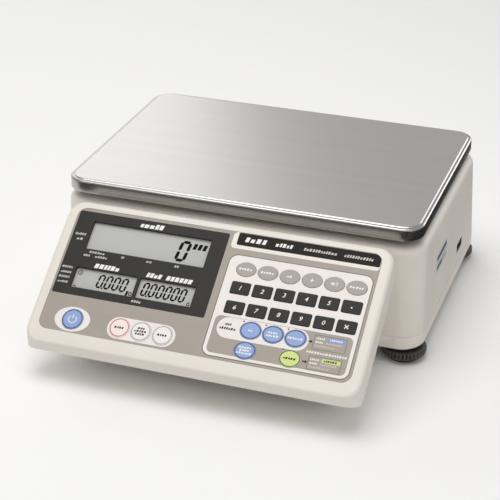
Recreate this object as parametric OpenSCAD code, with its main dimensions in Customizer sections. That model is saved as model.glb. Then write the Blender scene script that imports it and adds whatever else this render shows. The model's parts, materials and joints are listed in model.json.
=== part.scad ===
/* [Case] */
// Overall height, floor to the top of the pan
total_h = 121; // [118:0.5:124]
// Half width of the case at the parting line
case_hw = 154.5; // [152:0.5:157]
// Half width of the case at the foot of its top fillet
case_hw_top = 153; // [151:0.5:155]
// Front wall of the case box
case_front = -55; // [-57:1:-53]
// Rear wall of the case at its foot
case_rear = 172; // [168:1:176]
// Rear wall of the case at its top
case_rear_top = 160.5; // [158:0.5:166]
// Height of the deck under the pan
deck_z = 104; // [102:0.5:105]
// Underside of the lower case
base_z = 12.5; // [11:0.5:14]
// Height of the parting line
part_z = 24.3; // [23:0.1:26]
// Wall thickness of the case
wall = 2.8; // [2.2:0.1:3.4]
// Corner radius of the case, front
corner_f = 20; // [16:1:24]
// Corner radius of the case, rear
corner_r = 24; // [18:1:28]
// Radius of the fillet round the deck
deck_fillet = 8; // [6:0.5:9]

/* [Console] */
// Slope of the console face in degrees
face_angle = 35.5; // [34:0.5:37]
// Half width of the console plate
console_hw = 136; // [133:1:139]
// Thickness of the console plate
console_t = 20; // [18:0.5:22]
// Corner radius of the console plate
console_r = 13; // [10:1:15]
// Half width of the battery housing under the console
belly_hw = 114; // [110:1:116]
// Front of the battery housing
belly_front = -150; // [-152:1:-148]

/* [Keys] */
// Distance between neighbouring keys
key_pitch = 17.8; // [17.6:0.1:18.2]
// Radius of the round power key
round_key_r = 8.7; // [8:0.1:8.8]
// Radius of the white round keys
white_key_r = 8.1; // [7.5:0.1:8.3]
// Half width of the blue and green keys
blue_key_a = 8.5; // [8:0.1:8.5]
// Half height of the blue and green keys
blue_key_b = 7.3; // [7:0.1:7.5]
// Width of a numeral key
num_key_w = 15.4; // [14.5:0.1:15.6]
// Height of a numeral key
num_key_h = 10.6; // [10:0.1:11]
// How far a key travels
key_travel = 0.5; // [0.3:0.1:0.6]
// Gap round each key
key_gap = 0.2; // [0.15:0.05:0.25]

/* [Pan] */
// Pan width
pan_w = 300; // [296:1:304]
// Pan depth
pan_d = 210; // [208:1:212]
// Height of the pan's rolled edge
pan_rim = 11; // [10:0.5:12]
// Sheet thickness of the pan
pan_t = 1.2; // [1:0.1:1.5]
// Centre of the pan, front to rear
pan_y = 50; // [48:1:52]

/* [Feet] */
// Radius of the levelling wheel
wheel_r = 18.5; // [17:0.5:19]
// Stud radius
stud_r = 4; // [4:1:4]
// Flutes round the wheel
flutes = 36; // [24:2:40]

/* [Hidden] */

cream = "#e6e0d6";
face_y = -119;              // middle of the sloped face
face_z = 74.25;
face_len = 125.1;           // up the slope
face_tan = tan(face_angle);
face_cos = cos(face_angle);
function zf(y, w = 0) = face_z + (y - face_y) * face_tan + w / face_cos;
feet = [[-139, -39], [139, -39], [-138, 147], [138, 147]];
screw_xy = [[107.5, -143.5], [-107.5, -143.5], [107.5, -63], [-107.5, -63],
  [147.5, 60], [-147.5, 60], [60, 164], [-60, 164]];
grid_x = 24.4;
row_oval = 24;
row_1 = 7.5;
row_2 = -9.3;
row_blue = -25.7;
row_low = -42.5;
over_w = 254;
over_lo = -54;
over_hi = 55.5;
win = [-125.3, -22, 3, 52.5];       // window: x0, v0, x1, v1
cell_c = [0, pan_y, 51];
pivot_y = -130;
pivot_z = 13.75;

// ---------- outlines ----------
module rrect(x0, y0, x1, y1, r) {
  translate([x0 + r, y0]) square([x1 - x0 - 2 * r, y1 - y0]);
  translate([x0, y0 + r]) square([x1 - x0, y1 - y0 - 2 * r]);
  for (x = [x0 + r, x1 - r], y = [y0 + r, y1 - r]) translate([x, y]) circle(r, $fn = 64);
}
module outline(hw, yf, yr, rf, rr) {
  translate([-hw, yf + rf]) square([2 * hw, yr - yf - rf - rr]);
  translate([-hw + rf, yf]) square([2 * hw - 2 * rf, rf + 1]);
  translate([-hw + rr, yr - rr - 1]) square([2 * hw - 2 * rr, rr + 1]);
  for (s = [-1, 1]) {
    translate([s * (hw - rf), yf + rf]) circle(rf, $fn = 64);
    translate([s * (hw - rr), yr - rr]) circle(rr, $fn = 64);
  }
}
module belly_outline(d = 0) rrect(-belly_hw + d, belly_front + d, belly_hw - d, case_front + 20, 8 - d);
module side_profile(hw, pts) rotate([90, 0, 90]) linear_extrude(2 * hw, center = true) polygon(pts);
module on_face() translate([0, face_y, face_z]) rotate([face_angle, 0, 0]) children();

// ---------- solid bodies of the case ----------
module box_hull(d, zb) {
  hull() {
    for (s = [-1, 1]) {
      translate([s * (case_hw - corner_f), case_front + corner_f, zb]) cylinder(r = corner_f - d, h = 0.5, $fn = 48);
      translate([s * (case_hw - corner_r), case_rear - corner_r, zb]) cylinder(r = corner_r - d, h = 0.5, $fn = 48);
      translate([s * (case_hw_top - corner_f), case_front + corner_f + 0.5, deck_z - deck_fillet])
        rotate_extrude($fn = 48) translate([corner_f - deck_fillet, 0]) circle(deck_fillet - d, $fn = 24);
      translate([s * (case_hw_top - corner_r), case_rear_top - corner_r, deck_z - deck_fillet])
        rotate_extrude($fn = 48) translate([corner_r - deck_fillet, 0]) circle(deck_fillet - d, $fn = 24);
    }
  }
}
module console_hull() {
  er = 3.5;
  hull() {
    for (s = [-1, 1], a = [0 : 15 : 90]) {
      xf = s * (console_hw - console_r + (console_r - er) * sin(a));
      yf = -172 + console_r - (console_r - er) * cos(a);
      yt = -66 - console_r + (console_r - er) * cos(a);
      translate([xf, yf, zf(yf, -er)]) sphere(er, $fn = 20);
      translate([xf, yt, zf(yt, -er)]) sphere(er, $fn = 20);
      xb = s * (console_hw - console_r + (console_r - 1.2) * sin(a));
      yb = -172 + console_r - (console_r - 1.2) * cos(a);
      translate([xb, yb, 29.2 - 0.3 * (yb + 172)]) sphere(1.2, $fn = 8);
      translate([xb, yb + 14, zf(yb + 14, -console_t + 1.2)]) sphere(1.2, $fn = 8);
      yu = -58 - console_r + (console_r - 1.2) * cos(a);
      translate([xb, yu, zf(yu, -console_t + 1.2)]) sphere(1.2, $fn = 8);
    }
  }
}
module screw_columns(r, z0, z1) for (p = screw_xy) translate([p[0], p[1], z0]) cylinder(r = r, h = z1 - z0, $fn = 32);

module upper_case() color(cream) difference() {
  union() {
    difference() {
      union() {
        box_hull(0, part_z + 0.3);
        console_hull();
        side_profile(belly_hw, [[case_front + 3, part_z + 0.3], [belly_front, part_z + 0.3], [belly_front, zf(belly_front, -console_t + 2)],
          [case_front + 3, zf(case_front + 3, -console_t + 2)]]);
        // floor of the groove between the deck and the console
        translate([-126, -62.5, 84]) cube([252, 12, 15.5]);
      }
      translate([0, 0, -0.5]) box_hull(wall, part_z);
      // inside of the console plate
      intersection() {
        translate([0, 0, 20]) linear_extrude(95) rrect(-console_hw + wall, -169.2, console_hw - wall, -61, console_r - wall);
        side_profile(140, [[-180, zf(-180, -3.6)], [-70.6, zf(-70.6, -3.6)], [-62.5, zf(-62.5, -17.5)], [-154, zf(-154, -17.5)], [-180, 31.5]]);
      }
      // inside of the battery housing, open to the console and to the case box
      side_profile(belly_hw - wall, [[case_front + 3, 20], [belly_front + wall, 20], [belly_front + wall, zf(belly_front + wall, -16)], [-72, zf(-72, -16)], [case_front + 3, zf(-72, -16)]]);
      translate([-106, -60, 20]) cube([212, 12, 66]);
    }
    intersection() {
      box_hull(0.6, part_z + 0.3);
      translate([0, 0, 0]) for (p = screw_xy) if (p[1] > -60) translate([p[0], p[1], part_z + 0.3]) cylinder(r = 4.5, h = 40, $fn = 32);
    }
    for (p = screw_xy) if (p[1] < -60) translate([p[0], p[1], part_z + 0.3]) cylinder(r = 4.5, h = p[1] < -100 ? 8.5 : 50, $fn = 32);
    // bosses that hold the panel board
    on_face() for (x = [-130, 130], v = [-47, 44]) translate([x, v, 0]) {
      translate([0, 0, -7]) cylinder(r = 2.9, h = 4, $fn = 32);
      translate([0, 0, -9.6]) cylinder(r = 1.2, h = 3, $fn = 24);
    }
    // backing of the DC inlet's recess
    intersection() {
      box_hull(0.6, part_z + 0.3);
      translate([146, 81, 32]) cube([8, 27, 14]);
    }
  }
  screw_columns(1.55, part_z - 2, part_z + 13);
  // tray for the fascia
  on_face() translate([0, 0, -1.5]) linear_extrude(6) rrect(-over_w / 2, over_lo, over_w / 2, over_hi, 8);
  // openings behind the keys and the window
  on_face() translate([0, 0, -10]) linear_extrude(12) {
    rrect(win[0] + 3, win[1] + 3, win[2] - 3, win[3] - 3, 2);
    rrect(13, -51.6, 123.4, 32, 2);
    rrect(-110.4, -52.6, -89.6, -32.4, 2);
    rrect(-70.5, -52, -14.5, -33.6, 2);
  }
  // way through the deck for the pan support, and seat of the level
  translate([0, pan_y, deck_z - 12]) linear_extrude(20) rrect(-42, -30, 42, 30, 8);
  translate([-112, 138, deck_z - 12]) cylinder(r = 10.2, h = 20, $fn = 48);
  // recess of the DC inlet in the right side
  translate([150, 83, 34.5]) cube([8, 22, 9]);
  translate([140, 94.5, 39]) rotate([0, 90, 0]) cylinder(r = 4.2, h = 12, $fn = 32);
}

module lower_case() color(cream) difference() {
  union() {
    difference() {
      union() {
        translate([0, 0, base_z + 1.6]) linear_extrude(part_z - base_z - 1.6) {
          outline(case_hw + 0.2, case_front, case_rear, corner_f, corner_r);
          belly_outline();
        }
        hull() {
          translate([0, 0, base_z + 1.6]) linear_extrude(0.1) outline(case_hw + 0.2, case_front, case_rear, corner_f, corner_r);
          translate([0, 0, base_z]) linear_extrude(0.1) outline(case_hw - 1.4, case_front + 1.6, case_rear - 1.4, corner_f - 1.6, corner_r - 1.6);
        }
        hull() {
          translate([0, 0, base_z + 1.6]) linear_extrude(0.1) belly_outline();
          translate([0, 0, base_z]) linear_extrude(0.1) belly_outline(1.6);
        }
        // tongue that centres the upper case
        translate([0, 0, base_z + 4]) linear_extrude(part_z - base_z - 1.8) outline(case_hw - wall - 0.2, case_front + wall + 0.2, case_rear - wall - 0.4, corner_f - wall, corner_r - wall);
      }
      translate([0, 0, base_z + 2.5]) linear_extrude(30) {
        outline(case_hw - wall - 1.6, case_front + wall + 1.6, case_rear - wall - 1.8, corner_f - wall - 1.4, corner_r - wall - 1.4);
        belly_outline(wall);
      }
      translate([-107, -60, part_z - 0.01]) cube([214, 10, 10]);
    }
    screw_columns(6.4, base_z + 2, part_z);
    // battery housing, open downwards
    translate([0, 0, base_z + 2]) linear_extrude(38.5) rrect(-96.6, -129.6, 96.6, -55.6, 2);
    for (s = [-1, 1]) translate([s * 99.5 - 3, -134, base_z]) cube([6, 9, 5.5]);
    translate([-96.6, -134.2, base_z]) cube([193.2, 2.4, 5.5]);
  }
  // tray around the cells, and the doorway
  translate([0, 0, base_z - 1]) linear_extrude(39) rrect(-94.6, -127.6, 94.6, -57.6, 1.5);
  translate([-97.4, -131.7, base_z - 1]) cube([194.8, 74.4, 3.9]);
  // sockets of the door's pivots
  for (s = [-1, 1]) translate([s * 98.5, pivot_y, pivot_z]) rotate([0, 90, 0]) cylinder(r = 0.8, h = 4.4, center = true, $fn = 32);
  // case screws
  screw_columns(2.1, base_z - 1, part_z + 1);
  screw_columns(4.9, part_z, part_z + 4);
  screw_columns(4, base_z - 1, base_z + 4);
  // foot studs pass through the floor
  for (p = feet) translate([p[0], p[1], base_z - 1]) cylinder(r = 6, h = 6, $fn = 48);
  // slots of the frame screws' hex heads and ventilation
  for (i = [-4 : 4]) translate([i * 9 - 1.25, 20, base_z - 1]) cube([2.5, 60, 6]);
}

// ---------- fascia and display ----------
module ellipse(a, b) polygon([for (t = [0 : 10 : 350]) [a * cos(t), b * sin(t)]]);
module key_shape(kind, g = 0) {
  if (kind == "round") circle(round_key_r + g, $fn = 64);
  if (kind == "white") circle(white_key_r + g, $fn = 64);
  if (kind == "blue") ellipse(blue_key_a + g, blue_key_b + g);
  if (kind == "num") rrect(-num_key_w / 2 - g, -num_key_h / 2 - g, num_key_w / 2 + g, num_key_h / 2 + g, 1.4 + g);
  if (kind == "oval") ellipse(8.1 + g, 6.1 + g);
}
keys = [
  ["key_on_off", "round", -100, row_low, "#86a5de"], ["key_zero", "white", -60.2, row_low, "#f4efec"],
  ["key_preset_tare", "white", -42.4, row_low, "#f4efec"], ["key_tare", "white", -24.6, row_low, "#f4efec"],
  ["key_print", "oval", grid_x, row_oval, "#a9a29c"], ["key_total", "oval", grid_x + key_pitch, row_oval, "#a9a29c"],
  ["key_memory", "oval", grid_x + 2 * key_pitch, row_oval, "#a9a29c"], ["key_plus", "oval", grid_x + 3 * key_pitch, row_oval, "#a9a29c"],
  ["key_beep", "oval", grid_x + 4 * key_pitch, row_oval, "#a9a29c"], ["key_reset", "oval", grid_x + 5 * key_pitch, row_oval, "#a9a29c"],
  ["key_1", "num", grid_x, row_1, "#2e2d2a"], ["key_2", "num", grid_x + key_pitch, row_1, "#2e2d2a"],
  ["key_3", "num", grid_x + 2 * key_pitch, row_1, "#2e2d2a"], ["key_4", "num", grid_x + 3 * key_pitch, row_1, "#2e2d2a"],
  ["key_5", "num", grid_x + 4 * key_pitch, row_1, "#2e2d2a"], ["key_point", "num", grid_x + 5 * key_pitch, row_1, "#2e2d2a"],
  ["key_6", "num", grid_x, row_2, "#2e2d2a"], ["key_7", "num", grid_x + key_pitch, row_2, "#2e2d2a"],
  ["key_8", "num", grid_x + 2 * key_pitch, row_2, "#2e2d2a"], ["key_9", "num", grid_x + 3 * key_pitch, row_2, "#2e2d2a"],
  ["key_0", "num", grid_x + 4 * key_pitch, row_2, "#2e2d2a"], ["key_clear", "num", grid_x + 5 * key_pitch, row_2, "#2e2d2a"],
  ["key_unit_recall", "blue", grid_x + key_pitch, row_blue, "#86a5de"], ["key_unit_entry", "blue", grid_x + 2 * key_pitch, row_blue, "#86a5de"],
  ["key_unit_sample", "blue", grid_x + 3 * key_pitch, row_blue, "#86a5de"], ["key_unit_set", "blue", grid_x + key_pitch, row_low, "#86a5de"],
  ["key_enter", "blue", grid_x + 3 * key_pitch, row_low, "#d5e58a"]];

module keypad_overlay() color("#a89f95") on_face() difference() {
  translate([0, 0, -1.5]) linear_extrude(1.2) rrect(-over_w / 2 + 0.2, over_lo + 0.2, over_w / 2 - 0.2, over_hi - 0.2, 7.8);
  translate([0, 0, -4]) linear_extrude(6) {
    square_hole(win, 0.15);
    for (k = keys) translate([k[2], k[3]]) key_shape(k[1], key_gap);
  }
}
module square_hole(w, g) rrect(w[0] - g, w[1] - g, w[2] + g, w[3] + g, 1.5);
module display_window() color("#3d3b38") on_face() {
  translate([0, 0, -1.5]) linear_extrude(1.25) square_hole(win, 0);
  translate([0, 0, -2.6]) linear_extrude(1.1) rrect(win[0] + 3.3, win[1] + 3.3, win[2] - 3.3, win[3] - 3.3, 1.7);
}
lcd_boxes = [[-112.5, 18.2, -8.5, 46.2], [-113.5, -16.6, -59.3, 4.2], [-58.3, -16.6, -9, 4.2]];
module lcd_module(b) on_face() {
  translate([b[0], b[1], -4]) cube([b[2] - b[0], b[3] - b[1], 1.1]);
  translate([b[0] + 0.8, b[1] + 1.6, -5.2]) cube([b[2] - b[0] - 1.6, b[3] - b[1] - 3.2, 1.2]);
}
module lcd_count() color("#bfbeba") lcd_module(lcd_boxes[0]);
module lcd_weight() color("#bfbeba") lcd_module(lcd_boxes[1]);
module lcd_unit_weight() color("#bfbeba") lcd_module(lcd_boxes[2]);
module lcd_holder() color("#4a4844") on_face() difference() {
  translate([0, 0, -7]) linear_extrude(3) rrect(-121, -18.8, -1.6, 49, 1.5);
  for (b = lcd_boxes) {
    translate([b[0] - 0.2, b[1] - 0.2, -5.4]) cube([b[2] - b[0] + 0.4, b[3] - b[1] + 0.4, 3]);
    translate([b[0] + 2, b[1] + 4, -9]) cube([b[2] - b[0] - 4, b[3] - b[1] - 8, 6]);
  }
}
module panel_board() color("#2f6b45") on_face() difference() {
  union() {
    translate([0, 0, -8.6]) linear_extrude(1.6) difference() {
      rrect(-132, -51.5, 132, 50.5, 3);
      for (x = [-130, 130], v = [-47, 44]) translate([x, v]) circle(1.3, $fn = 24);
    }
    for (p = [[20, 40], [84, 40]]) translate([p[0], p[1], -10.4]) cube([18, 7, 1.9]);
    translate([-30, 20, -10.6]) cube([20, 20, 2]);
    translate([-102, -2, -11.6]) cube([26, 6, 3]);
    for (i = [0 : 5]) translate([-20 + i * 9, -40, -10]) cube([4, 2.4, 1.4]);
  }
}
module dome_sheet() color("#d8d4cc") on_face() {
  translate([0, 0, -7]) linear_extrude(0.9) { rrect(12, -51.4, 124, 32.4, 3); }
  translate([0, 0, -7]) linear_extrude(0.9) rrect(-112, -51.4, -12, -33, 3);
  for (k = keys) translate([k[2], k[3], -6.2]) cylinder(r = 3.6, h = 1.9, $fn = 32);
}
module key_cap(i) {
  k = keys[i];
  color(k[4]) on_face() translate([k[2], k[3], 0]) {
    translate([0, 0, -2]) linear_extrude(2.25) key_shape(k[1]);
    translate([0, 0, -2.9]) linear_extrude(1.0) if (k[1] == "num") rrect(-8.6, -6.1, 8.6, 6.1, 1.6);
      else if (k[1] == "oval") ellipse(8.7, 6.9);
      else if (k[1] == "blue") ellipse(8.7, 7.9);
      else circle(k[1] == "white" ? 8.7 : 9.3, $fn = 64);
    translate([0, 0, -3.5]) cylinder(r = 2, h = 1, $fn = 32);
  }
}

// ---------- frame, load cell and pan ----------
module base_frame() color("#b9bbbd") difference() {
  union() {
    translate([0, 0, 15]) linear_extrude(6) {
      rrect(-122, -46, 122, 152, 10);
      for (p = feet) { translate(p) circle(9, $fn = 48); translate([p[0] > 0 ? 110 : -138, p[1] - 9]) square([p[0] > 0 ? 28 : 28, 18]); }
    }
    for (p = feet) translate([p[0], p[1], 15]) cylinder(r = 8.6, h = 22, $fn = 48);
    for (y = [-44, 30, 66, 146]) translate([-120, y, 17]) cube([240, 4, 14]);
    for (x = [-120, -72, 68, 116]) translate([x, -44, 17]) cube([4, 194, 14]);
    translate([-67, 30, 17]) cube([36, 40, 19]);
    for (y = [24, 72]) translate([46, y, 17]) cylinder(r = 6, h = 6.5, $fn = 32);
  }
  for (p = feet) translate([p[0], p[1], 10]) cylinder(r = stud_r + 0.05, h = 24, $fn = 48);
  for (x = [-58, -42]) translate([x, pan_y, 10]) cylinder(r = 3.3, h = 40, $fn = 32);
  for (x = [-58, -42]) translate([x, pan_y, 10]) cylinder(r = 5.6, h = 11, $fn = 32);
  for (y = [24, 72]) translate([46, y, 10]) cylinder(r = 2.5, h = 40, $fn = 32);
  translate([-60, -36, 10]) linear_extrude(30) { rrect(0, 0, 36, 58, 6); rrect(44, 0, 84, 58, 6); rrect(92, 0, 120, 58, 6); }
  translate([-60, 78, 10]) linear_extrude(12) { rrect(0, 0, 36, 60, 6); rrect(44, 0, 84, 60, 6); rrect(92, 0, 120, 60, 6); }
  translate([-110, 80, 10]) linear_extrude(30) rrect(0, 0, 30, 58, 6);
  // relief in the cross rib for the rear stop's nut
  translate([46, 72, 23.5]) cylinder(r = 6.6, h = 12, $fn = 48);
}
module load_cell() color("#c9ccd0") difference() {
  union() {
    translate([-67, pan_y - 15, 39]) cube([134, 30, 24]);
    translate([-67, pan_y - 15, 36]) cube([34, 30, 3]);
    translate([33, pan_y - 15, 63]) cube([34, 30, 3]);
  }
  for (x = [-14, 14]) translate([x, pan_y, 51]) rotate([90, 0, 0]) cylinder(r = 9.5, h = 40, center = true, $fn = 48);
  translate([-14, pan_y - 20, 47.5]) cube([28, 40, 7]);
  for (x = [-58, -42]) translate([x, pan_y, 30]) cylinder(r = 3.05, h = 20, $fn = 32);
  for (x = [42, 58]) translate([x, pan_y, 50]) cylinder(r = 3.05, h = 20, $fn = 32);
}
module cell_screws() color("#6d7075") for (x = [-58, -42]) translate([x, pan_y, 0]) {
  translate([0, 0, 15.4]) cylinder(r = 5, h = 5.6, $fn = 32);
  translate([0, 0, 20.5]) cylinder(r = 3, h = 26, $fn = 32);
}
module overload_stops() color("#6d7075") for (y = [24, 72]) translate([46, y, 0]) {
  translate([0, 0, 15.6]) cylinder(r = 2.45, h = 24.8, $fn = 32);
  translate([0, 0, 23.6]) cylinder(r = 4.6, h = 4, $fn = 6);
  translate([0, 0, 38]) cylinder(r = 4.2, h = 3.4, $fn = 32);
}
module pan_support() color("#aeb1b4") {
  difference() {
    union() {
      // post through the deck, with an ear on each side over the stops
      translate([33, pan_y - 17, 66]) cube([34, 34, 5]);
      translate([-34, pan_y - 24, 71]) cube([101, 48, 6]);
      for (y = [pan_y - 34, pan_y + 16.5]) translate([36, y, 42]) cube([20, 17.5, 6]);
      for (y = [pan_y - 24, pan_y + 19]) translate([36, y, 42]) cube([20, 5, 33]);
      translate([0, pan_y, 71]) linear_extrude(38) rrect(-34, -24, 34, 24, 5);
      // four arms and their pads' seats
      for (s = [-1, 1], t = [-1, 1]) hull() {
        translate([s * 22, pan_y + t * 14, 106.5]) cylinder(r = 13, h = 6, $fn = 32);
        translate([s * 112, pan_y + t * 72, 108]) cylinder(r = 11, h = 4.5, $fn = 32);
      }
    }
    translate([0, pan_y, 60]) linear_extrude(44) rrect(-29, -19, 29, 19, 3);
    translate([-80, pan_y - 15.4, 60]) cube([113, 30.8, 11]);
    for (x = [42, 58]) translate([x, pan_y, 60]) cylinder(r = 3.3, h = 30, $fn = 32);
    for (x = [42, 58]) translate([x, pan_y, 77]) cylinder(r = 5.8, h = 26, $fn = 32);
  }
  for (x = [42, 58]) translate([x, pan_y, 0]) {
    translate([0, 0, 77]) cylinder(r = 5, h = 5, $fn = 32);
    translate([0, 0, 55]) cylinder(r = 2.95, h = 23, $fn = 32);
  }
}
module pan_pads() color("#2a2a2a") for (s = [-1, 1], t = [-1, 1]) translate([s * 112, pan_y + t * 72, 112.5]) cylinder(r = 8, h = total_h - pan_t - 112.5, $fn = 32);
module pan() color("#b9b6b1") {
  r = 17;
  zt = total_h;
  hx = pan_w / 2 - r;
  hy = pan_d / 2 - r;
  difference() {
    hull() for (x = [-hx, hx], y = [-hy, hy]) translate([x, pan_y + y, 0]) rotate_extrude($fn = 64)
      polygon([[0, zt - pan_rim], [r, zt - pan_rim], [r, zt - 3.1], [r - 0.25, zt - 2.0], [r - 0.9, zt - 1.15], [r - 2, zt - 0.7], [r - 6.4, zt - 0.55], [r - 7.6, zt], [0, zt]]);
    translate([0, pan_y, zt - pan_rim - 1]) linear_extrude(pan_rim + 1 - pan_t - 0.6) rrect(-pan_w / 2 + pan_t, -pan_d / 2 + pan_t, pan_w / 2 - pan_t, pan_d / 2 - pan_t, r - pan_t);
    translate([0, pan_y, zt - 4]) linear_extrude(4 - pan_t) rrect(-pan_w / 2 + 9, -pan_d / 2 + 9, pan_w / 2 - 9, pan_d / 2 - 9, r - 8);
  }
}

// ---------- electronics ----------
module main_board() color("#2f6b45") {
  translate([74, -22, 33.5]) cube([38, 120, 1.6]);
  for (x = [78, 108], y = [-18, 94]) translate([x, y, 21]) cylinder(r = 2.4, h = 13, $fn = 24);
  translate([80, -8, 35.1]) cube([22, 26, 14]);
  translate([82, 30, 35.1]) cube([16, 16, 2.2]);
  for (y = [56, 68]) translate([86, y, 35.1]) cylinder(r = 4.5, h = 11, $fn = 32);
  translate([98, 54, 35.1]) cylinder(r = 7, h = 6, $fn = 32);
  translate([78, 82, 35.1]) cube([26, 6, 7]);
}
// a round lead swept along points, with its corners rounded by one pass of corner cutting
function cut1(p) = concat([p[0]], [for (i = [0 : len(p) - 2]) each [p[i] * 0.75 + p[i + 1] * 0.25, p[i] * 0.25 + p[i + 1] * 0.75]], [p[len(p) - 1]]);
function unit(v) = v / norm(v);
module tube(pts, r, n = 8) {
  p = cut1(cut1(pts));
  m = len(p);
  t = [for (i = [0 : m - 1]) unit(i == 0 ? p[1] - p[0] : i == m - 1 ? p[m - 1] - p[m - 2] : unit(p[i + 1] - p[i]) + unit(p[i] - p[i - 1]))];
  ref = unit([0.31, 0.17, 0.93]);
  verts = [for (i = [0 : m - 1]) let (a = unit(cross(t[i], ref)), b = cross(a, t[i])) for (k = [0 : n - 1]) p[i] + r * (cos(k * 360 / n) * a + sin(k * 360 / n) * b)];
  sides = [for (i = [0 : m - 2], k = [0 : n - 1]) each [
    [i * n + k, i * n + (k + 1) % n, (i + 1) * n + (k + 1) % n], [i * n + k, (i + 1) * n + (k + 1) % n, (i + 1) * n + k]]];
  ends = [[for (k = [n - 1 : -1 : 0]) k], [for (k = [0 : n - 1]) (m - 1) * n + k]];
  polyhedron(verts, concat(sides, ends));
}
module wiring() color("#8d8f94") {
  // load cell lead, fixed end to the main board
  tube([[-50, 65, 54], [-50, 78, 54], [-40, 84, 34], [54, 84, 34], [66, 85, 38.6], [78, 85, 38.6]], 2);
  // ribbon to the panel board
  translate([84, 0, 0]) rotate([90, 0, 90]) linear_extrude(18) polygon([[-8, 38], [-30, 38], [-48, 52], [-53, 57], [-66, 76], [-77.9, 90.78],
    [-78.55, 90.33], [-66.6, 75.5], [-53.6, 56.4], [-48.4, 51.3], [-30.3, 37.2], [-8, 37.2]]);
  // DC inlet and battery leads
  tube([[136, 94.5, 39], [128, 94.5, 39], [116, 85, 38.6], [104, 85, 38.6]], 1.6);
  tube([[81.6, -55.6, 46], [81.6, -44, 46], [81.6, -24, 42], [81.6, -8, 42]], 1.4);
}
module dc_jack() color("#262626") {
  difference() {
    union() {
      translate([136, 88, 33.6]) cube([9.6, 13, 10.8]);
      translate([140, 94.5, 39]) rotate([0, 90, 0]) cylinder(r = 4.1, h = 11, $fn = 32);
    }
    translate([140.5, 94.5, 39]) rotate([0, 90, 0]) cylinder(r = 2.75, h = 12, $fn = 32);
  }
  translate([139, 94.5, 39]) rotate([0, 90, 0]) cylinder(r = 0.9, h = 10, $fn = 24);
}
module battery_cells() color("#3c6ea8") for (y = [-75.2, -110.2], i = [-1 : 1]) translate([i * 61.6 - 30.6, y, 32.8]) rotate([0, 90, 0]) {
  cylinder(r = 16.9, h = 59.4, $fn = 64);
  translate([0, 0, 59.3]) cylinder(r = 4.6, h = 1.8, $fn = 32);
}
module battery_contacts() color("#c8b27a") for (y = [-75.2, -110.2], s = [-1, 1]) {
  translate([s * 94.25 - 0.25, y - 9, 22]) cube([0.5, 18, 22]);
  translate([s * 94, y, 32.8]) rotate([0, -s * 90, 0]) cylinder(r1 = 7, r2 = 4, h = 1.8, $fn = 32);
}
module battery_door() color(cream) {
  difference() {
    union() {
      translate([-97, pivot_y, base_z]) cube([194, 72.4, 2.5]);
      translate([-97, pivot_y, pivot_z]) rotate([0, 90, 0]) cylinder(r = 1.25, h = 194, $fn = 48);
      translate([-99.6, pivot_y, pivot_z]) rotate([0, 90, 0]) cylinder(r = 0.75, h = 199.2, $fn = 32);
    }
    for (i = [0 : 5]) translate([-20, -66 - i * 2.2, base_z - 0.4]) cube([40, 1.1, 1]);
  }
  for (x = [-60, 0, 60]) translate([x - 0.9, -124, base_z + 2.4]) cube([1.8, 60, 0.9]);
}
module level_vial() color("#cfe06a") {
  translate([-112, 138, deck_z - 5.5]) difference() {
    cylinder(r = 10, h = 7, $fn = 48);
    translate([0, 0, 6.2]) cylinder(r = 8, h = 2, $fn = 48);
  }
  translate([-112, 138, deck_z + 0.7]) rotate_extrude($fn = 48) polygon([[0, 0], [7.6, 0], [7.6, 0.8], [5, 1.3], [0, 1.6]]);
}
module case_screws() color("#8a8c8f") for (p = screw_xy) translate([p[0], p[1], 0]) {
  difference() {
    translate([0, 0, base_z + 1.9]) cylinder(r = 3.7, h = 2.1, $fn = 32);
    translate([-2.2, -0.4, base_z + 1.5]) cube([4.4, 0.8, 1.4]);
    translate([-0.4, -2.2, base_z + 1.5]) cube([0.8, 4.4, 1.4]);
  }
  translate([0, 0, base_z + 3.9]) cylinder(r = 1.5, h = 19.5, $fn = 32);
}

// ---------- levelling feet ----------
module foot_pad(i) color("#1d1d1c") translate([feet[i][0], feet[i][1], 0]) difference() {
  rotate_extrude($fn = 64) polygon([[0, 0], [12.6, 0], [13.4, 0.8], [13.4, 2.4], [0, 2.4]]);
  translate([0, 0, 1.2]) cylinder(r = 3.05, h = 4, $fn = 32);
}
module foot_wheel(i) color("#1d1d1c") translate([feet[i][0], feet[i][1], 0]) {
  difference() {
    rotate_extrude($fn = 72) polygon([[0, 2.5], [14.6, 2.5], [wheel_r, 5.6], [wheel_r, 9.6], [wheel_r - 0.9, 10.6], [0, 10.6]]);
    for (k = [0 : flutes - 1]) rotate([0, 0, k * 360 / flutes]) translate([wheel_r + 0.55, 0, 1.5]) cylinder(r = 1.15, h = 8.2, $fn = 12);
  }
  translate([0, 0, 1.4]) cylinder(r = 3, h = 1.4, $fn = 32);
  translate([0, 0, 10.5]) cylinder(r = stud_r, h = 20.5, $fn = 48);
}

// ---------- output ----------
lower_case();
upper_case();
keypad_overlay();
display_window();
lcd_holder();
lcd_count();
lcd_weight();
lcd_unit_weight();
panel_board();
dome_sheet();
base_frame();
load_cell();
cell_screws();
overload_stops();
main_board();
wiring();
battery_cells();
battery_contacts();
dc_jack();
level_vial();
case_screws();
pan_support();
pan_pads();
pan();
battery_door();
foot_pad(0);  // foot_pad_fl
foot_pad(1);  // foot_pad_fr
foot_pad(2);  // foot_pad_rl
foot_pad(3);  // foot_pad_rr
foot_wheel(0);  // foot_wheel_fl
foot_wheel(1);  // foot_wheel_fr
foot_wheel(2);  // foot_wheel_rl
foot_wheel(3);  // foot_wheel_rr
key_cap(0);  // key_on_off
key_cap(1);  // key_zero
key_cap(2);  // key_preset_tare
key_cap(3);  // key_tare
key_cap(4);  // key_print
key_cap(5);  // key_total
key_cap(6);  // key_memory
key_cap(7);  // key_plus
key_cap(8);  // key_beep
key_cap(9);  // key_reset
key_cap(10);  // key_1
key_cap(11);  // key_2
key_cap(12);  // key_3
key_cap(13);  // key_4
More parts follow.
